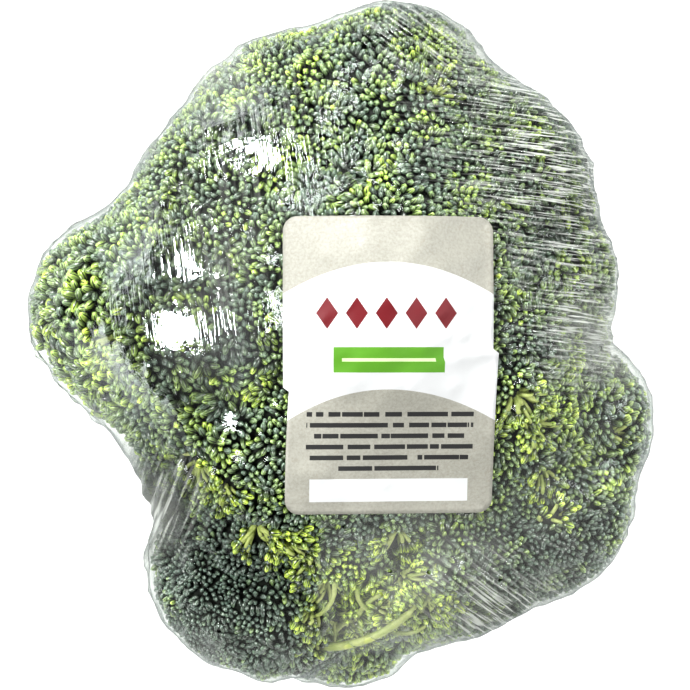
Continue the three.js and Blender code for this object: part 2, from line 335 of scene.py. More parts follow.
# Broken dark rules: height of each above the lower edge, and how far it reaches to each side
RULES = ((23.5, 20.0), (20.9, 20.0), (18.3, 18.0), (15.7, 20.0), (13.1, 19.0), (10.5, 12.0))
RULE_HEIGHT = 1.1
RULE_NOISE = 0.5
RULE_NOISE_STEP = 7.0
RULE_BREAKS = 0.4
PRINT_WHITE = (0.62, 0.63, 0.63, 1)
PRINT_RED = (0.17, 0.012, 0.018, 1)
PRINT_GREEN = (0.13, 0.33, 0.035, 1)
PRINT_PALE_GREEN = (0.62, 0.76, 0.45, 1)
PRINT_DARK = (0.035, 0.035, 0.035, 1)
LABEL_STEPS = (50, 70)
LABEL_THICKNESS = 0.15
LABEL_GAP = 0.12
LABEL_RELAX = 60
LABEL_STIFFNESS = 0.6
LABEL_LOOSE = 0.5
LABEL_EVEN = 6
LABEL_CREASE_AT = -0.9
LABEL_CREASE_SLOPE = 0.19
LABEL_CREASE_SHIFT = 1.4
LABEL_CREASE_FADE = 18.0
LABEL_CREASE_WIDTH = 1.6
LABEL_CREASE_HEIGHT = 0.7

# Camera, light and floor
CAMERA_HEIGHT = 1000.0
CAMERA_LENS = 197.2
CAMERA_SENSOR = 36.0
FLOOR_SIZE = 4000.0
FLOOR_GLOW = 0.85
WORLD_LIGHT = 0.03
WORLD_RIGHT_LIGHT = 0.5
WORLD_RIGHT = (0.75, -0.45, 0.45)
WORLD_RIGHT_FROM = 0.2
# Soft boxes: name, towards (x, y, z), distance, width, height, brightness
SOFT_BOXES = (
    ("left_key", (-0.68, -0.12, 0.72), 1100, 400, 480, 14.0),
    ("back_key", (-0.22, 0.75, 0.62), 1100, 460, 460, 17.5),
    ("right_key", (0.60, -0.15, 0.78), 1200, 260, 260, 19.0),
    ("right_low", (0.92, 0.12, 0.36), 1300, 300, 500, 7.0),
)


def unit(vectors):
    """Vectors of length one."""
    return vectors / np.maximum(np.linalg.norm(vectors, axis=-1, keepdims=True), 1e-9)


def arrays_of(mesh):
    """A mesh's vertices in mm and its triangles."""
    points = np.empty(3 * len(mesh.vertices), np.float32)
    mesh.vertices.foreach_get("co", points)
    mesh.calc_loop_triangles()
    triangles = np.empty(3 * len(mesh.loop_triangles), np.int32)
    mesh.loop_triangles.foreach_get("vertices", triangles)
    return points.reshape(-1, 3).astype(float) / MM, triangles.reshape(-1, 3)


def edges_of(triangles):
    """The three edges of every triangle."""
    return np.concatenate([triangles[:, [0, 1]], triangles[:, [1, 2]], triangles[:, [2, 0]]])


def face_normals(points, triangles):
    """The outward direction of every triangle, as long as twice its area."""
    a, b, c = (points[triangles[:, corner]] for corner in range(3))
    return np.cross(b - a, c - a)


def vertex_normals(points, triangles):
    """The outward direction at every vertex."""
    across = face_normals(points, triangles)
    normals = np.zeros_like(points)
    for corner in range(3):
        for axis in range(3):
            normals[:, axis] += np.bincount(triangles[:, corner], across[:, axis], len(points))
    return unit(normals)


def tree_of(points, triangles):
    """A search tree for rays against a surface."""
    return BVHTree.FromPolygons(points.tolist(), triangles.tolist())


def packed_film():
    """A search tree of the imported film."""
    return tree_of(*arrays_of(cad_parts["film"].data))


def skin_of(node, voxel, passes, swell=0.0, shrink=0.0):
    """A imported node's surface, evenly remeshed and smoothed: its vertices and triangles.

    Swelling and then shrinking closes the narrow gaps between knobs.
    """
    source = bpy.data.objects.new("skin_source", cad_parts[node].data.copy())
    bpy.context.scene.collection.objects.link(source)
    for distance in (0.0, swell, -shrink):
        if distance:
            move = source.modifiers.new("move", "DISPLACE")
            move.mid_level = 0
            move.strength = distance * MM
        if distance >= 0:
            even = source.modifiers.new("even", "REMESH")
            even.mode = "VOXEL"
            even.voxel_size = voxel * MM
    smooth = source.modifiers.new("smooth", "SMOOTH")
    smooth.factor = 0.5
    smooth.iterations = passes
    shaped = source.evaluated_get(bpy.context.evaluated_depsgraph_get())
    points, triangles = arrays_of(shaped.to_mesh())
    shaped.to_mesh_clear()
    bpy.data.objects.remove(source)
    return points, triangles


def finder(points):
    """A search tree for the nearest of some points."""
    tree = KDTree(len(points))
    for index, point in enumerate(points.tolist()):
        tree.insert(point, index)
    tree.balance()
    return tree


def square_to(axes):
    """Two directions square to an axis, or to each of many, and to each other."""
    helper = np.where(np.abs(axes[..., 2:]) < UPRIGHT, (0.0, 0.0, 1.0), (1.0, 0.0, 0.0))
    side = unit(np.cross(helper, axes))
    return side, np.cross(axes, side)


def dropped(tree, x, y):
    """Where a surface is met from straight above, and its direction there."""
    place, normal, _, _ = tree.ray_cast((x, y, FILM_START), (0, 0, -1))
    return place, normal


def smooth_noise(points, size, seed):
    """Soft random values from 0 to 1 with lumps of about the given size."""
    cells = np.floor(points / size).astype(np.int64)
    part = points / size - cells
    part = part * part * (3 - 2 * part)
    total = np.zeros(len(points))
    for corner in itertools.product((0, 1), repeat=3):
        key = ((cells + corner) * NOISE_MIXERS).sum(axis=1) + seed * NOISE_SEED_STEP
        key = (key ^ (key >> 13)) * NOISE_SCRAMBLE & NOISE_MASK
        value = ((key ^ (key >> 15)) & NOISE_LEVELS) / NOISE_LEVELS
        total += value * np.prod(np.where(corner, part, 1 - part), axis=1)
    return total


def near(points, x, y, reach):
    """One at a place seen from above, fading to nothing away from it."""
    away = np.hypot(points[:, 0] - x, points[:, 1] - y) / reach
    return np.exp(-away * away * PATCH_FADE)


def from_patches(points, patches):
    """What a list of patches adds at each point: x, y, reach and how much."""
    return sum(more * near(points, x, y, reach) for x, y, reach, more in patches)


def new_piece(name, points, triangles, material, node, slot):
    """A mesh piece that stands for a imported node."""
    mesh = bpy.data.meshes.new(name)
    mesh.vertices.add(len(points))
    mesh.vertices.foreach_set("co", (points * MM).astype(np.float32).ravel())
    mesh.loops.add(triangles.size)
    mesh.loops.foreach_set("vertex_index", triangles.astype(np.int32).ravel())
    mesh.polygons.add(len(triangles))
    mesh.polygons.foreach_set("loop_start", np.arange(0, triangles.size, 3, dtype=np.int32))
    mesh.update(calc_edges=True)
    mesh.shade_smooth()
    mesh.materials.append(material)
    piece = bpy.data.objects.new(name, mesh)
    bpy.context.scene.collection.objects.link(piece)
    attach(piece, "root")
    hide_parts(node)
    return piece


def set_attribute(piece, name, values):
    """A number at every vertex, for the material to read."""
    attribute = piece.data.attributes.new(name, "FLOAT", "POINT")
    attribute.data.foreach_set("value", values.astype(np.float32))


def set_map(piece, name, places):
    """A flat map: a place for every corner of every triangle."""
    layer = piece.data.uv_layers.new(name=name)
    layer.data.foreach_set("uv", places.astype(np.float32).ravel())


# Materials


def new_material(name):
    """A material with an empty node tree, and that tree."""
    material = bpy.data.materials.new(name)
    material.use_nodes = True
    material.node_tree.nodes.clear()
    return material, material.node_tree


def add(tree, kind, inputs=None, **settings):
    """A new node. An input is a plain value, or an output of another node that is joined to it."""
    node = tree.nodes.new("ShaderNode" + kind)
    for name, value in settings.items():
        setattr(node, name, value)
    for name, value in (inputs or {}).items():
        if isinstance(value, bpy.types.NodeSocket):
            tree.links.new(value, node.inputs[name])
        else:
            node.inputs[name].default_value = value
    return node


def ramp(tree, factor, stops):
    """A colour that follows a factor through the given stops."""
    node = add(tree, "ValToRGB", {"Fac": factor})
    elements = node.color_ramp.elements
    while len(elements) < len(stops):
        elements.new(0.5)
    for element, (place, colour) in zip(elements, stops):
        element.position = place
        element.color = (*colour, 1)
    return node.outputs["Color"]


def math_node(tree, operation, first, second=0.0, third=0.0):
    """A sum, power, comparison or other rule of values."""
    return add(tree, "Math", {0: first, 1: second, 2: third}, operation=operation).outputs[0]


def product(tree, first, second):
    """Two values multiplied."""
    return math_node(tree, "MULTIPLY", first, second)


def ranged(tree, value, to_low, to_high, from_low=0.0, from_high=1.0, **settings):
    """A value carried over from one range to another."""
    inputs = {"From Min": from_low, "From Max": from_high, "To Min": to_low, "To Max": to_high}
    return add(tree, "MapRange", {"Value": value, **inputs}, **settings).outputs[0]


def bump_of(tree, height, strength, depth):
    """A bumped surface direction from a height, with the bumps' depth in mm."""
    return add(tree, "Bump", {"Height": height, "Strength": strength, "Distance": depth * MM}).outputs[0]


def mixed(tree, factor, first, second, blend="MIX"):
    """Two colours mixed by a factor."""
    node = add(tree, "MixRGB", {"Fac": factor, "Color1": first, "Color2": second}, blend_type=blend)
    return node.outputs["Color"]


def noise(tree, scale, detail=3.0, roughness=0.55, vector=None):
    """Random values with so many lumps to a unit, in the piece's own frame or the given one."""
    place = vector or add(tree, "TexCoord").outputs["Object"]
    inputs = {"Vector": place, "Scale": scale, "Detail": detail, "Roughness": roughness}
    return add(tree, "TexNoise", inputs).outputs["Fac"]


def attribute(tree, name):
    """A number that the mesh holds at every vertex."""
    return add(tree, "Attribute", attribute_name=name).outputs["Fac"]


def surfaced(material, tree, shader):
    """A material with its surface: a shader, or the inputs of the standard one."""
    if isinstance(shader, dict):
        shader = add(tree, "BsdfPrincipled", shader).outputs[0]
    add(tree, "OutputMaterial", {"Surface": shader})
    return material


def bud_material():
    """Waxy buds: blue-green to yellow-green, with a pale bloom; painted shade darkens each bud's root and
    the grooves between its sepals, and painted highlights brighten its tip and the sepals' edges.
    """
    material, tree = new_material("flower_buds")
    tone = attribute(tree, "tone")
    hue = ramp(tree, tone, (
        (0.00, (0.030, 0.056, 0.044)),
        (0.30, (0.084, 0.128, 0.090)),
        (0.52, (0.180, 0.255, 0.085)),
        (0.74, (0.325, 0.430, 0.075)),
        (1.00, (0.540, 0.640, 0.100)),
    ))
    # Painted shade and highlight: each bud is dark at its root, where shade falls between buds, and
    # brighter than its own colour at its tip.
    depth = ramp(tree, attribute(tree, "rise"), (
        (0.14, (0.02, 0.03, 0.02)),
        (0.48, (0.42, 0.46, 0.39)),
        (0.80, (1.25, 1.25, 1.20)),
        (1.00, (1.80, 1.80, 1.80)),
    ))
    body = mixed(tree, 1.0, hue, depth, "MULTIPLY")
    # Painted shade in the grooves between sepals, and a painted highlight along the sepals' edges beside
    # them.
    seam_shade_and_edge_highlight = ramp(tree, attribute(tree, "ridge"), (
        (0.00, (0.06, 0.08, 0.05)),
        (0.20, (0.30, 0.32, 0.28)),
        (0.38, (1.90, 1.90, 1.90)),
        (0.62, (0.95, 0.95, 0.92)),
        (1.00, (0.80, 0.80, 0.76)),
    ))
    body = mixed(tree, 1.0, body, seam_shade_and_edge_highlight, "MULTIPLY")
    upper = math_node(tree, "SQRT", attribute(tree, "rise"))
    bloom = product(tree, noise(tree, 900, 2), upper)
    bloom = product(tree, bloom, ranged(tree, tone, 0.34, 0.10))
    return surfaced(material, tree, {
        "Base Color": mixed(tree, bloom, body, (0.53, 0.57, 0.51, 1)),
        "Roughness": ranged(tree, noise(tree, 1400, 2), 0.16, 0.34),
        "Normal": bump_of(tree, noise(tree, 2600, 2), 0.25, 0.2),
        "Specular IOR Level": 1.0,
        "Coat Weight": 0.6,
        "Coat Roughness": 0.1,
    })


def flesh_material(name, pale, dark):
    """Plant flesh with fine upright streaks and paler and darker patches."""
    material, tree = new_material(name)
    place = add(tree, "TexCoord").outputs["Object"]
    stretched = add(tree, "Mapping", {"Vector": place, "Scale": (1, 1, 0.18)}).outputs[0]
    streaks = noise(tree, 420, 4, 0.6, stretched)
    patches = noise(tree, 90, 3)
    blend = math_node(tree, "MULTIPLY_ADD", streaks, 0.6, product(tree, patches, 0.4))
    return surfaced(material, tree, {
        "Base Color": ramp(tree, blend, ((0.34, dark), (0.66, pale))),
        "Roughness": ranged(tree, patches, 0.42, 0.6),
        "Normal": bump_of(tree, streaks, 0.35, 0.6),
        "Subsurface Weight": 0.08,
        "Subsurface Radius": (0.003, 0.004, 0.001),
    })


def core_material():
    """The crown's flesh: pale green under the lobes, and near-black between the buds as painted shade."""
    material, tree = new_material("crown_flesh_and_shade")
    normal = add(tree, "NewGeometry").outputs["Normal"]
    upward = add(tree, "SeparateXYZ", {0: normal}).outputs["Z"]
    facing = ranged(tree, upward, 0.0, 1.0, -0.55, -0.1)
    grain = noise(tree, 500, 4)
    under = ramp(tree, grain, ((0.3, (0.13, 0.20, 0.045)), (0.7, (0.30, 0.38, 0.12))))
    # Painted shade: the flesh that faces up between the buds is near-black.
    between = ramp(tree, grain, ((0.3, (0.002, 0.004, 0.002)), (0.7, (0.008, 0.014, 0.005))))
    return surfaced(material, tree, {
        "Base Color": mixed(tree, facing, under, between),
        "Roughness": 0.7,
        "Normal": bump_of(tree, grain, 0.4, 0.6),
    })


def film_lines(tree):
    """The film's stretch lines: their relief, their milky streaks, which are painted highlights, and the
    painted shade between them.
    """
    place = add(tree, "TexCoord").outputs["Object"]
    relief = 0.0
    streaks = 0.0
    shade = 0.0
    for name, degrees, apart, milky, dark in FILM_LINES:
        turn = {"Vector": place, "Rotation": (0, 0, -math.radians(degrees))}
        turned = add(tree, "Mapping", turn).outputs[0]
        stretch = {"Vector": turned, "Scale": (1 / LINE_LENGTH, 1, 1 / LINE_LENGTH)}
        drawn = noise(tree, 1 / (apart * MM), 2, 0.5, add(tree, "Mapping", stretch).outputs[0])
        drawn = product(tree, ranged(tree, drawn, 0.0, 1.0, *LINE_CUT), attribute(tree, name))
        relief = math_node(tree, "ADD", relief, drawn)
        # Painted highlights: milky streaks along the lines stand in for their glints; painted shade darkens
        # the film between them.
        streaks = math_node(tree, "MULTIPLY_ADD", drawn, milky, streaks)
        between = math_node(tree, "SUBTRACT", attribute(tree, name), drawn)
        shade = math_node(tree, "MULTIPLY_ADD", between, dark, shade)
    return relief, streaks, shade


def film_material():
    """Clear film: it lets light straight through, with gloss by angle and a slight milky haze."""
    material, tree = new_material("clear_film")
    relief, streaks, shade = film_lines(tree)
    height = math_node(tree, "ADD", noise(tree, 240, 3, 0.6), product(tree, relief, LINE_RELIEF))
    bump = bump_of(tree, height, 0.4, 0.6)
    facing = add(tree, "LayerWeight", {"Blend": 0.5}).outputs["Facing"]
    tint = ramp(tree, facing, (
        (0.40, (0.985, 0.99, 0.985)),
        (0.75, (0.88, 0.89, 0.88)),
        (1.00, (0.50, 0.52, 0.50)),
    ))
    # Painted shade: what shows through the film is darkened between the stretch lines.
    seen_through = mixed(tree, shade, tint, (0.2, 0.22, 0.2, 1))
    clear = add(tree, "BsdfTransparent", {"Color": seen_through}).outputs[0]
    milk = add(tree, "BsdfDiffuse", {"Color": (0.78, 0.80, 0.76, 1), "Normal": bump}).outputs[0]
    edge = product(tree, math_node(tree, "POWER", facing, EDGE_MILKY_POWER), EDGE_MILKY)
    milky = product(tree, attribute(tree, "haze"), HAZE_MILKY)
    haze = math_node(tree, "ADD", math_node(tree, "ADD", milky, streaks), edge)
    body = add(tree, "MixShader", {0: haze, 1: clear, 2: milk}).outputs[0]
    shine = {"Color": (0.93, 0.98, 1.0, 1), "Roughness": 0.07, "Normal": bump}
    gloss = add(tree, "BsdfGlossy", shine).outputs[0]
    mirror = product(tree, math_node(tree, "POWER", facing, MIRROR_EDGE_POWER), MIRROR_EDGE)
    shining = ranged(tree, attribute(tree, "shine"), MIRROR_LEAST, MIRROR_SHINING)
    mirror = math_node(tree, "ADD", mirror, shining)
    return surfaced(material, tree, add(tree, "MixShader", {0: mirror, 1: body, 2: gloss}).outputs[0])


def label_material():
    """Beige paper with flecks, printed with a plain design."""
    material, tree = new_material("label_paper")
    place = add(tree, "UVMap", uv_map="OFBake").outputs[0]
    grain = noise(tree, 1500, 5, 0.7)
    fibres = noise(tree, 420, 4, 0.6)
    paper = ramp(tree, grain, ((0.32, (0.30, 0.295, 0.255)), (0.68, (0.395, 0.39, 0.345))))
    flecks = product(tree, math_node(tree, "GREATER_THAN", fibres, 0.64), 0.25)
    paper = mixed(tree, flecks, paper, (0.28, 0.26, 0.21, 1))
    return surfaced(material, tree, {
        "Base Color": label_print(tree, place, paper),
        "Roughness": 0.52,
        "Normal": bump_of(tree, grain, 0.12, 0.2),
    })


def label_print(tree, place, paper):
    """The print on the paper, from the label's flat map. Sizes are in mm from the lower edge."""
    parts = add(tree, "SeparateXYZ", {0: place})
    across = product(tree, parts.outputs["X"], LABEL_WIDTH)
    up = product(tree, parts.outputs["Y"], LABEL_HEIGHT)

    def apart(value, level):
        return math_node(tree, "ABSOLUTE", math_node(tree, "SUBTRACT", value, level))

    def between(value, low, high):
        above = math_node(tree, "GREATER_THAN", value, low)
        return product(tree, above, math_node(tree, "LESS_THAN", value, high))

    middle = apart(across, LABEL_WIDTH / 2)

    def block(low, high, reach):
        return product(tree, between(up, low, high), math_node(tree, "LESS_THAN", middle, reach))

    arch = product(tree, product(tree, middle, middle), BAND_ARCH)
    band = between(math_node(tree, "SUBTRACT", up, arch), *BAND)
    colour = mixed(tree, band, paper, PRINT_WHITE)
    along = apart(math_node(tree, "MODULO", across, DIAMOND_STEP), DIAMOND_STEP / 2)
    away = math_node(tree, "MULTIPLY_ADD", apart(up, DIAMOND_ROW), DIAMOND_SQUAT, along)
    diamonds = math_node(tree, "LESS_THAN", away, DIAMOND_HALF)
    diamonds = product(tree, diamonds, math_node(tree, "LESS_THAN", middle, DIAMOND_REACH))
    colour = mixed(tree, diamonds, colour, PRINT_RED)
    colour = mixed(tree, block(*BAR), colour, PRINT_GREEN)
    colour = mixed(tree, block(*BAR_LINE), colour, PRINT_PALE_GREEN)
    for height, reach in RULES:
        spot = add(tree, "CombineXYZ", {"X": across, "Y": RULE_NOISE_STEP * height}).outputs[0]
        pieces = math_node(tree, "GREATER_THAN", noise(tree, RULE_NOISE, 1, 0.5, spot), RULE_BREAKS)
        rule = product(tree, block(height, height + RULE_HEIGHT, reach), pieces)
        colour = mixed(tree, rule, colour, PRINT_DARK)
    return mixed(tree, block(*FOOT_PANEL), colour, PRINT_WHITE)


def floor_material():
    """A plain pale floor."""
    material, tree = new_material("pale_floor")
    shade = ramp(tree, noise(tree, 6, 2), ((0.3, (0.24, 0.24, 0.24)), (0.7, (0.26, 0.26, 0.26))))
    return surfaced(material, tree, {
        "Base Color": shade,
        "Roughness": 0.8,
        "Specular IOR Level": 0.1,
        "Emission Color": (1, 1, 1, 1),
        "Emission Strength": FLOOR_GLOW,
    })


# Crown and buds


def filled_out(points, triangles):
    """A surface brought close under the film wherever it faces it, except in its deep valleys."""
    tree = packed_film()
    outward = points - FILM_CENTRE
    distance = np.linalg.norm(outward, axis=1)
    outward = unit(outward)
    reach = np.array([tree.ray_cast(FILM_CENTRE, direction)[3] or 0 for direction in outward.tolist()])
    spare = reach + from_patches(points, FILM_SHIFTS) - distance - CROWN_FILM_ROOM
    spare = np.where(reach > 0, spare, 0)
    facing = (vertex_normals(points, triangles) * outward).sum(axis=1)
    facing = np.clip(facing * FACING_GAIN - FACING_CUT, 0, 1)
    closes_at = CROWN_CLOSING + CROWN_SIDE_CLOSING * (1 - outward[:, 2] ** 2)
    closing = spare * facing * (1 - np.clip(spare / closes_at, 0, 1))
    return points + outward * np.where(spare < 0, spare, closing)[:, None]


def scattered(points, triangles, count, random):
    """Points spread at random over a surface, with its direction there."""
    area = np.linalg.norm(face_normals(points, triangles), axis=1)
    face = random.choice(len(triangles), count, p=area / area.sum())
    u, v = random.random((2, count))
    over = u + v > 1
    u[over], v[over] = 1 - u[over], 1 - v[over]
    weights = np.stack([1 - u - v, u, v], axis=1)
    corners = triangles[face]
    normals = vertex_normals(points, triangles)
    spots = np.einsum("nk,nkx->nx", weights, points[corners])
    return spots, unit(np.einsum("nk,nkx->nx", weights, normals[corners]))


def open_to_air(spots, normals, tree, room):
    """Which spots have nothing close in front of them."""
    rays = zip((spots + normals * RAY_START).tolist(), normals.tolist())
    return np.array([tree.ray_cast(start, normal, room)[0] is None for start, normal in rays])


def thinned(spots, spacing):
    """The spots that are kept so that no other lies within each one's spacing."""
    tree = finder(spots)
    free = np.ones(len(spots), bool)
    kept = []
    for index, spot in enumerate(spots.tolist()):
        if free[index]:
            kept.append(index)
            for _, other, _ in tree.find_range(spot, spacing[index]):
                free[other] = False
    return np.array(kept)


def bud_shape():
    """One bud of unit width and length along Z: points, triangles, map places, ridges and rise."""
    points = [(0, 0, -0.5)]
    ridge = [0.5]
    for height, radius in zip(BUD_RING_HEIGHTS, BUD_RING_RADII):
        for side in range(BUD_SIDES):
            turn = 2 * math.pi * side / BUD_SIDES
            out = radius * (1 - SEAM_DEPTH * (side % 2))
            points.append((out * math.cos(turn), out * math.sin(turn), height))
            ridge.append(1 - side % 2)
    points.append((0, 0, 0.5))
    ridge.append(0.5)
    points = np.array(points)
    top = len(points) - 1
    levels = points[1::BUD_SIDES, 2][:len(BUD_RING_HEIGHTS)] + 0.5
    triangles = []
    places = []
    for side in range(BUD_SIDES):
        right = (side + 1) % BUD_SIDES
        u, w = side / BUD_SIDES, (side + 1) / BUD_SIDES
        starts = range(1, top, BUD_SIDES)
        rings = [(start + side, start + right) for start in starts]
        triangles.append((0, rings[0][1], rings[0][0]))
        places.append(((u, 0), (w, levels[0]), (u, levels[0])))
        for (low, high), (a, b), (d, c) in zip(zip(levels, levels[1:]), rings, rings[1:]):
            triangles += [(a, b, c), (a, c, d)]
            places += [((u, low), (w, low), (w, high)), ((u, low), (w, high), (u, high))]
        triangles.append((rings[-1][0], rings[-1][1], top))
        places.append(((u, levels[-1]), (w, levels[-1]), (u, 1)))
    return points, np.array(triangles), np.array(places), np.array(ridge, float), points[:, 2] + 0.5


def turned_frames(axes, random):
    """Two directions square to each axis, turned at random about it."""
    side, other = square_to(axes)
    turn = random.random(len(axes))[:, None] * 2 * math.pi
    return side * np.cos(turn) + other * np.sin(turn), other * np.cos(turn) - side * np.sin(turn)


def tone_at(points):
    """How yellow a bud is by its place, from 0 for blue-green to 1 for pale yellow-green."""
    varied = sum(much * (smooth_noise(points, size, seed) - 0.5) for size, much, seed in TONE_NOISE)
    return TONE_MIDDLE + varied + from_patches(points, TONE_PATCHES)


def crown_buds(skin, blocked, random):
    """Places, directions, sizes and tones of the buds that cover the crown."""
    spots, normals = scattered(*skin, BUD_CANDIDATES, random)
    good = normals[:, 2] > BUD_LOWEST_NORMAL
    spots, normals = spots[good], normals[good]
    good = open_to_air(spots, normals, blocked, BUD_FREE_ROOM)
    spots, normals = spots[good], normals[good]
    spacing = BUD_SPACING + BUD_SPACING_VARIES * (smooth_noise(spots, *SPACING_NOISE) - 0.5)
    spacing += from_patches(spots, SPACING_PATCHES)
    kept = thinned(spots, spacing)
    spots, normals, spacing = spots[kept], normals[kept], spacing[kept]

    middles = spots[thinned(spots, np.full(len(spots), CLUSTER_SPACING))]
    tree = finder(middles)
    own = middles[[tree.find(spot)[1] for spot in spots.tolist()]]
    away = (spots - own) / CLUSTER_REACH
    reach = np.minimum(np.linalg.norm(away, axis=1), CLUSTER_EDGE)

    lean = np.stack([smooth_noise(spots, *kind) - 0.5 for kind in LEAN_NOISE], axis=1)
    axes = normals + CLUSTER_TILT * away + LEAN * lean + BUD_ASKEW * random.normal(size=spots.shape)
    axes = unit(axes)
    width = spacing * BUD_FILL * (BUD_MIDDLE_WIDTH + BUD_OUTER_WIDER * reach)
    width *= 1 + BUD_WIDTH_VARIES * random.normal(size=len(spots))
    longer = 2 * smooth_noise(spots, *LENGTH_NOISE) - 1
    length = width * (BUD_LENGTH + BUD_LENGTH_VARIES * longer)
    rise = CLUSTER_RISE * (1 - reach ** 2) + length * (0.5 - BUD_SUNK) - BUD_LOWERED
    middle = spots + normals * rise[:, None] - (spots - own) * CLUSTER_PULL
    tone = tone_at(spots) + TONE_BUD_VARIES * random.normal(size=len(spots))
    paler = smooth_noise(own, *CLUSTER_TONE_NOISE) ** CLUSTER_TONE_POWER
    tone += CLUSTER_TONE_VARIES * (paler - CLUSTER_TONE_SHIFT)
    return middle, axes, width, length, np.clip(tone, 0, 1)


def curved_tube(start, bend, end, radius):
    """A slender stem along a bent path, closed at both ends: its points and triangles."""
    points = []
    triangles = []
    for step in range(STEM_STEPS + 1):
        t = step / STEM_STEPS
        middle = (1 - t) ** 2 * start + 2 * t * (1 - t) * bend + t * t * end
        side, other = square_to(unit((1 - t) * (bend - start) + t * (end - bend)))
        width = radius * (STEM_ROOT_WIDTH - STEM_TAPER * t)
        for turn in np.arange(STEM_SIDES) * 2 * math.pi / STEM_SIDES:
            points.append(middle + width * (side * math.cos(turn) + other * math.sin(turn)))
    for step in range(STEM_STEPS):
        for side in range(STEM_SIDES):
            a = step * STEM_SIDES + side
            b = step * STEM_SIDES + (side + 1) % STEM_SIDES
            triangles += [(a, b, b + STEM_SIDES), (a, b + STEM_SIDES, a + STEM_SIDES)]
    last = STEM_STEPS * STEM_SIDES
    for side in range(1, STEM_SIDES - 1):
        triangles += [(0, side + 1, side), (last, last + side, last + side + 1)]
    return np.array(points), np.array(triangles)


def joined(shapes):
    """Several surfaces as one: points and triangles."""
    points = []
    triangles = []
    count = 0
    for shape_points, shape_triangles in shapes:
        points.append(shape_points)
        triangles.append(shape_triangles + count)
        count += len(shape_points)
    return np.concatenate(points), np.concatenate(triangles)


def loose_florets(tree, random):
    """Long-stalked buds that lie on the crown: their stems, and the places and sizes of the buds."""
    stems = []
    buds = []
    for x, y, count, reach, heading in FLORETS:
        root, normal = np.array(dropped(tree, x, y))
        normal = unit(normal + (0, 0, FLORET_UPWARD))
        for out in reach * np.sqrt(np.linspace(FLORET_NEAREST, 1, count)):
            turn = math.radians(heading) + FLORET_FAN * random.uniform(-1, 1)
            aside, ahead = out * math.cos(turn), out * math.sin(turn)
            landing, slope = dropped(tree, root[0] + aside, root[1] + ahead)
            if landing is None or abs(landing[2] - root[2]) > reach:
                continue
            slope = np.array(slope)
            end = np.array(landing) + slope * random.uniform(*FLORET_LIFT)
            bend = (root + end) / 2 + normal * random.uniform(*FLORET_ARCH)
            bend += FLORET_BEND_VARIES * random.normal(size=3)
            stems.append(curved_tube(root - normal * FLORET_SUNK, bend, end, PEDICEL_RADIUS))
            along = unit(unit(end - bend) + FLORET_BUD_LIFT * slope)
            buds += floret_buds(end, along, random)
    middle, axes, width, length, tone = (np.array(column) for column in zip(*buds))
    return joined(stems + pale_stems(tree)), (middle, axes, width, length, np.clip(tone, 0, 1))


def floret_buds(end, along, random):
    """The bud on the end of a stem and the smaller ones beside it."""
    buds = []
    for number in range(1 + SIDE_BUDS):
        size = random.uniform(*FLORET_BUD_VARIES) * (SIDE_BUD_SIZE if number else 1)
        aside = random.normal(size=3) if number else np.zeros(3)
        axis = unit(along + SIDE_BUD_TILT * aside)
        length = FLORET_BUD_LENGTH * size
        middle = end + SIDE_BUD_AWAY * unit(aside) + axis * length * FLORET_BUD_OUT
        tone = FLORET_TONE + FLORET_TONE_VARIES * random.normal()
        buds.append((middle, axis, FLORET_BUD_WIDTH * size, length, tone))
    return buds


def pale_stems(tree):
    """The bare stems that arch over the crown between the florets."""
    stems = []
    for x, y, to_x, to_y, radius, bow in PALE_STEMS:
        start, end = np.array([dropped(tree, *spot)[0] for spot in ((x, y), (to_x, to_y))])
        aside = unit(np.cross(end - start, (0, 0, 1)))
        arch = PALE_STEM_ARCH + abs(start[2] - end[2]) / 2
        bend = (start + end) / 2 + 2 * bow * aside + (0, 0, arch)
        stems.append(curved_tube(start, bend, end, radius))
    return stems


def clear_of_florets(middles):
    """Which buds lie clear of the loose florets."""
    clear = np.ones(len(middles), bool)
    for x, y, _, reach, heading in FLORETS:
        turn = math.radians(heading)
        room = reach * FLORET_CLEARING
        away_x = middles[:, 0] - x - math.cos(turn) * room
        away_y = middles[:, 1] - y - math.sin(turn) * room
        clear &= np.hypot(away_x, away_y) > room
    return clear


def branchlets(skin, random):
    """The stems that come out of the stalk and carry the florets, seen under the lobes."""
    spots, normals = scattered(*skin, BRANCHLET_CANDIDATES, random)
    low = (normals[:, 2] < BUD_LOWEST_NORMAL) & (normals[:, 2] > BRANCHLET_STEEPEST)
    spots = spots[low]
    stems = []
    for spot in spots[thinned(spots, np.full(len(spots), BRANCHLET_SPACING))]:
        end = spot * (BRANCHLET_IN, BRANCHLET_IN, 1) - (0, 0, BRANCHLET_DROP)
        bend = spot * (BRANCHLET_BEND, BRANCHLET_BEND, 1) - (0, 0, BRANCHLET_SAG)
        stems.append(curved_tube(end, bend, spot, BRANCHLET_RADIUS * random.uniform(*BRANCHLET_VARIES)))
    return joined(stems)


def grown(buds, random):
    """All buds as one array of points, bud by bud."""
    middle, axes, width, length, _ = buds
    shape = bud_shape()[0]
    side, other = turned_frames(axes, random)
    points = middle[:, None] + axes[:, None] * (shape[:, 2] * length[:, None])[..., None]
    points += side[:, None] * (shape[:, 0] * width[:, None])[..., None]
    return points + other[:, None] * (shape[:, 1] * width[:, None])[..., None]


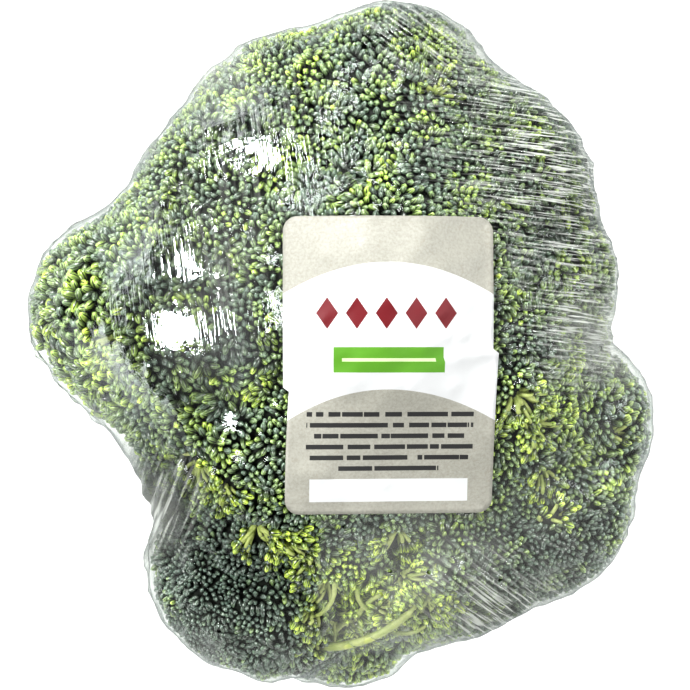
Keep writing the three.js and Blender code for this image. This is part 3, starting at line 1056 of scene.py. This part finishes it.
def bud_pieces(points, tone, material):
    """The buds as pieces of a few thousand, in order round the head, each bud with its own map cell."""
    _, triangles, places, ridge, rise = bud_shape()
    order = np.argsort(np.arctan2(points[:, 0, 1], points[:, 0, 0]), kind="stable")
    groups = math.ceil(len(order) / BUDS_PER_PIECE)
    for number, chosen in enumerate(np.array_split(order, groups), start=1):
        count = len(chosen)
        offsets = np.arange(count)[:, None, None] * points.shape[1]
        faces = (triangles[None] + offsets).reshape(-1, 3)
        piece = new_piece(
            f"buds_{number}", points[chosen].reshape(-1, 3), faces, material, "crown", "flower_buds")
        set_attribute(piece, "tone", np.repeat(tone[chosen], points.shape[1]))
        set_attribute(piece, "ridge", np.tile(ridge, count))
        set_attribute(piece, "rise", np.tile(rise, count))
        cells = math.ceil(math.sqrt(count))
        corner = np.stack([np.arange(count) % cells, np.arange(count) // cells], axis=1)
        flat = (corner[:, None, None] + MAP_MARGIN + (1 - 2 * MAP_MARGIN) * places[None]) / cells
        set_map(piece, "OFBake", flat.reshape(-1, 2))


# Film


def sphere(detail):
    """Directions all round, finer at the top, and their triangles."""
    ball = bmesh.new()
    bmesh.ops.create_icosphere(ball, subdivisions=detail, radius=1)
    directions = np.array([vertex.co[:] for vertex in ball.verts])
    triangles = np.array([[vertex.index for vertex in face.verts] for face in ball.faces])
    ball.free()
    return unit(directions + (0, 0, FILM_TOP_FINER)), triangles


class Neighbours:
    """Which vertices of a surface are joined, for evening out and spreading values."""

    def __init__(self, triangles, count):
        pairs = edges_of(triangles)
        pairs = np.unique(np.concatenate([pairs, pairs[:, ::-1]]), axis=0)
        self.start, self.end = pairs.T
        self.count = count
        self.degree = np.bincount(self.start, minlength=count)

    def mean(self, values):
        """The mean value next to every vertex."""
        return np.bincount(self.start, values[self.end], self.count) / self.degree

    def highest(self, values):
        """The highest value at or next to every vertex."""
        top = values.copy()
        np.maximum.at(top, self.start, values[self.end])
        return top


def packed_radius(directions):
    """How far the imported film's outside lies from its centre in each direction."""
    tree = packed_film()
    radius = np.empty(len(directions))
    for index, direction in enumerate(directions):
        start = FILM_CENTRE + direction * FILM_START
        radius[index] = FILM_START - tree.ray_cast(start, -direction)[3]
    return radius


def needed_radius(directions, contents):
    """How far the film has to stand out to clear what it wraps."""
    outward = contents - FILM_CENTRE
    distance = np.linalg.norm(outward, axis=1)
    tree = finder(directions)
    needed = np.zeros(len(directions))
    for direction, far in zip((outward / distance[:, None]).tolist(), distance.tolist()):
        index = tree.find(direction)[1]
        needed[index] = max(needed[index], far)
    return needed


def folds(points):
    """How far the film stands out in folds."""
    height = np.zeros(len(points))
    for number, (x, y, reach, degrees, apart, top) in enumerate(FOLDS):
        turn = math.radians(degrees)
        across = points[:, 1] * math.cos(turn) - points[:, 0] * math.sin(turn)
        along = points[:, 0] * math.cos(turn) + points[:, 1] * math.sin(turn)
        layer = np.full(len(points), FOLD_NOISE_STEP * number)
        place = np.stack([along / FOLD_STRETCH, across, layer], axis=1)
        wander = FOLD_WANDERS * smooth_noise(place, *FOLD_WANDER_NOISE)
        wave = 0.5 + 0.5 * np.sin(2 * math.pi * across / apart + wander)
        broken = FOLD_BREAKS * smooth_noise(place, *FOLD_BREAK_NOISE)
        height += top * near(points, x, y, reach) * wave ** 2 * broken
    return height


def film_surface(contents):
    """The film's outside around everything it wraps: its points and triangles."""
    directions, triangles = sphere(FILM_DETAIL)
    neighbours = Neighbours(triangles, len(directions))
    radius = packed_radius(directions)
    around = neighbours.mean(radius)
    radius = np.where(radius < around - FILM_DENT, around, radius)
    needed = neighbours.highest(needed_radius(directions, contents) + FILM_GAP)
    tighter = FILM_TIGHTER - from_patches(FILM_CENTRE + directions * radius[:, None], FILM_SHIFTS)
    raised = np.clip(1 + FILM_LOW_FADE * directions[:, 2], 0, 1)
    radius = np.maximum(radius - tighter * raised, needed)
    for _ in range(FILM_RELAX):
        radius = np.maximum(0.5 * radius + 0.5 * neighbours.mean(radius), needed)
    points = FILM_CENTRE + directions * radius[:, None]
    taut = np.clip(from_patches(points, TAUT_PATCHES), 0, 1) * (points[:, 2] > FILM_CENTRE[2])
    radius += TAUT_LIFT * taut
    for _ in range(TAUT_PASSES):
        radius += taut * (neighbours.mean(radius) - radius)
    points = FILM_CENTRE + directions * np.maximum(radius, needed)[:, None]
    points += directions * folds(points)[:, None]
    points[:, 2] = np.maximum(points[:, 2], 0)
    return points, triangles


def shell(points, triangles, thickness):
    """A thin closed sheet: a surface, its inner side, and walls along its open edges."""
    inner = points - vertex_normals(points, triangles) * thickness
    count = len(points)
    edges = [tuple(edge) for edge in edges_of(triangles).tolist()]
    known = set(edges)
    walls = []
    for a, b in edges:
        if (b, a) not in known:
            walls += [(b, a, a + count), (b, a + count, b + count)]
    faces = [triangles, triangles[:, ::-1] + count]
    if walls:
        faces.append(np.array(walls))
    return np.concatenate([points, inner]), np.concatenate(faces)


def used(points, triangles):
    """A surface without the points that no triangle uses."""
    kept, places = np.unique(triangles, return_inverse=True)
    return points[kept], places.reshape(-1, 3)


def opened(points, triangles):
    """The film's surface with its breathing holes cut, and the holes' melted rims."""
    tree = tree_of(points, triangles)
    normals = vertex_normals(points, triangles)
    points = points.copy()
    rims = []
    cut = np.zeros(len(triangles), bool)
    for x, y in VENTS:
        hit = np.array(dropped(tree, x, y)[0])
        middle = int(np.argmin(np.linalg.norm(points - hit, axis=1)))
        own = np.any(triangles == middle, axis=1)
        cut |= own
        for index in set(triangles[own].ravel().tolist()) - {middle}:
            away = points[index] - points[middle]
            away -= normals[middle] * (away @ normals[middle])
            points[index] = points[middle] + unit(away) * VENT_RADIUS
        rims.append(rim(points[middle], normals[middle]))
    return *used(points, triangles[~cut]), rims


def rim(middle, axis):
    """A small ring around a breathing hole."""
    side, other = square_to(axis)
    points = []
    triangles = []
    for turn in range(VENT_RIM_SIDES):
        angle = 2 * math.pi * turn / VENT_RIM_SIDES
        start = turn * VENT_RIM_ROUND
        following = (turn + 1) % VENT_RIM_SIDES * VENT_RIM_ROUND
        out = side * math.cos(angle) + other * math.sin(angle)
        for spin in range(VENT_RIM_ROUND):
            tilt = 2 * math.pi * spin / VENT_RIM_ROUND
            reach = VENT_RADIUS + VENT_RIM_AWAY + VENT_RIM * math.cos(tilt)
            points.append(middle + out * reach + axis * (VENT_RIM * math.sin(tilt)))
            after = (spin + 1) % VENT_RIM_ROUND
            a, b = start + spin, start + after
            c, d = following + spin, following + after
            triangles += [(a, c, d), (a, d, b)]
    return np.array(points), np.array(triangles)


def overlap(points):
    """Where the second layer of film lies, from 0 to 1."""
    wander = OVERLAP_WANDERS * (2 * smooth_noise(points, *OVERLAP_NOISE) - 1)
    return near(points, *OVERLAP_PATCH) * (points[:, 0] > OVERLAP_EDGE + wander)


def film_piece(contents):
    """The clear film, and a search tree of its outside for the label to lie on."""
    points, triangles = film_surface(contents)
    tree = tree_of(points, triangles)
    skin, faces, rims = opened(points, triangles)
    points, triangles = joined([shell(skin, faces, FILM_THICKNESS), *rims])
    piece = new_piece("film_wrap", points, triangles, film_material(), "film", "clear_film")
    set_attribute(piece, "shine", np.clip(from_patches(points, SHINE_PATCHES), 0, 1))
    strengths = {name: from_patches(points, patches) for name, patches in FILM_PATCHES.items()}
    strengths["haze"] += OVERLAP_MILKY * overlap(points)
    uneven = PATCH_LEAST + PATCH_VARIES * smooth_noise(points, *PATCH_NOISE)
    for name, strength in strengths.items():
        set_attribute(piece, name, strength * uneven)
    return tree


# Label


def label_outline(u, v):
    """A place on the label, in mm from its middle, from a square grid of -1 to 1, with round corners."""
    x, y = u * LABEL_WIDTH / 2, v * LABEL_HEIGHT / 2
    inner_x, inner_y = LABEL_WIDTH / 2 - LABEL_CORNER, LABEL_HEIGHT / 2 - LABEL_CORNER
    over_x, over_y = max(abs(x) - inner_x, 0), max(abs(y) - inner_y, 0)
    far = math.hypot(over_x, over_y)
    if far > 0:
        shrink = max(over_x, over_y) / far
        x = math.copysign(min(abs(x), inner_x) + over_x * shrink, x)
        y = math.copysign(min(abs(y), inner_y) + over_y * shrink, y)
    return x, y


def label_piece(tree):
    """The paper label lying on the film."""
    wide, tall = LABEL_STEPS
    grid = itertools.product(range(tall + 1), range(wide + 1))
    flat = np.array([label_outline(2 * i / wide - 1, 2 * j / tall - 1) for j, i in grid])
    crease = flat[:, 1] - LABEL_CREASE_AT - LABEL_CREASE_SLOPE * flat[:, 0]
    spots = flat + LABEL_MIDDLE
    outer = (flat[:, 0] / LABEL_WIDTH * 2) ** 2
    shift = LABEL_CREASE_SHIFT * np.exp(crease / LABEL_CREASE_FADE)
    spots[:, 0] += np.where(crease < 0, shift, 0) * outer
    height = np.array([dropped(tree, *spot)[0][2] for spot in spots.tolist()])
    triangles = []
    for j, i in itertools.product(range(tall), range(wide)):
        a = j * (wide + 1) + i
        triangles += [(a, a + 1, a + wide + 2), (a, a + wide + 2, a + wide + 1)]
    triangles = np.array(triangles)
    neighbours = Neighbours(triangles, len(flat))
    lowest = height + LABEL_GAP
    paper = lowest
    for _ in range(LABEL_RELAX):
        stiff = (1 - LABEL_STIFFNESS) * paper + LABEL_STIFFNESS * neighbours.mean(paper)
        paper = np.maximum(stiff, lowest)
    paper = np.minimum(paper, lowest + LABEL_LOOSE)
    for _ in range(LABEL_EVEN):
        paper = np.maximum(0.5 * paper + 0.5 * neighbours.mean(paper), lowest)
    bent = crease / LABEL_CREASE_WIDTH
    paper = paper + LABEL_CREASE_HEIGHT * np.exp(-bent * bent) * outer
    surface = np.column_stack([spots, paper + LABEL_THICKNESS])
    points, faces = shell(surface, triangles, LABEL_THICKNESS)
    piece = new_piece("label_sticker", points, faces, label_material(), "label", "label_paper")
    places = flat / (LABEL_WIDTH, LABEL_HEIGHT) + 0.5
    set_map(piece, "OFBake", np.concatenate([places, places])[faces])


# Scene


def make_camera():
    """The camera straight above the head."""
    data = bpy.data.cameras.new("camera")
    data.lens = CAMERA_LENS
    data.sensor_width = CAMERA_SENSOR
    camera = bpy.data.objects.new("camera", data)
    camera.location = (0, 0, CAMERA_HEIGHT * MM)
    bpy.context.scene.collection.objects.link(camera)
    bpy.context.scene.camera = camera


def make_lights():
    """Soft boxes round the head, and a dim surround that is brighter at the right."""
    for name, towards, distance, width, height, brightness in SOFT_BOXES:
        data = bpy.data.lights.new(name, "AREA")
        data.shape = "ELLIPSE"
        data.size = width * MM
        data.size_y = height * MM
        data.energy = brightness * math.pi * data.size * data.size_y
        light = bpy.data.objects.new(name, data)
        light.location = Vector(towards).normalized() * distance * MM
        light.rotation_euler = Vector(towards).to_track_quat("Z", "Y").to_euler()
        bpy.context.scene.collection.objects.link(light)
    world = bpy.data.worlds.new("studio")
    world.use_nodes = True
    tree = world.node_tree
    place = add(tree, "TexCoord").outputs["Generated"]
    right = Vector(WORLD_RIGHT).normalized()
    side = add(tree, "VectorMath", {0: place, 1: right}, operation="DOT_PRODUCT").outputs["Value"]
    rise = {"from_low": WORLD_RIGHT_FROM, "interpolation_type": "SMOOTHSTEP"}
    strength = ranged(tree, side, WORLD_LIGHT, WORLD_RIGHT_LIGHT, **rise)
    background = tree.nodes["Background"]
    background.inputs["Color"].default_value = (1, 1, 1, 1)
    tree.links.new(strength, background.inputs["Strength"])
    bpy.context.scene.world = world
    bpy.context.scene.view_settings.view_transform = "Standard"
    bpy.context.scene.view_settings.look = "High Contrast"


def make_floor():
    """A wide pale floor under the head."""
    mesh = bpy.data.meshes.new("floor")
    half = FLOOR_SIZE / 2 * MM
    corners = [(-half, -half, 0), (half, -half, 0), (half, half, 0), (-half, half, 0)]
    mesh.from_pydata(corners, [], [(0, 1, 2, 3)])
    mesh.materials.append(floor_material())
    floor = bpy.data.objects.new("floor", mesh)
    bpy.context.scene.collection.objects.link(floor)


def build():
    """Makes the whole head and the studio around it."""
    random = np.random.default_rng(SEED)
    points, triangles = skin_of("crown", CROWN_VOXEL, CROWN_SMOOTHING, CROWN_SWELL, CROWN_SHRINK)
    crown = filled_out(points, triangles), triangles
    stalk = skin_of("stalk", STALK_VOXEL, STALK_SMOOTHING)
    new_piece("crown_core", *crown, core_material(), "crown", "flower_buds")
    flesh = flesh_material("stalk_flesh", *STALK_FLESH)
    new_piece("stalk_flesh", *stalk, flesh, "stalk", "stalk_flesh")

    buds = crown_buds(crown, tree_of(*joined([crown, stalk])), random)
    stems, loose_buds = loose_florets(tree_of(*crown), random)
    clear = clear_of_florets(buds[0])
    buds = [np.concatenate([column[clear], extra]) for column, extra in zip(buds, loose_buds)]
    twigs = branchlets(crown, random)
    stem_flesh = flesh_material("floret_stems", *STEM_FLESH)
    new_piece("floret_stems", *stems, stem_flesh, "crown", "flower_buds")
    new_piece("branchlets", *twigs, flesh, "crown", "stalk_flesh")
    points = grown(buds, random)
    bud_pieces(points, buds[-1], bud_material())

    contents = np.concatenate([crown[0], stalk[0], stems[0], twigs[0], points.reshape(-1, 3)])
    label_piece(film_piece(contents))
    make_camera()
    make_lights()
    make_floor()


build()
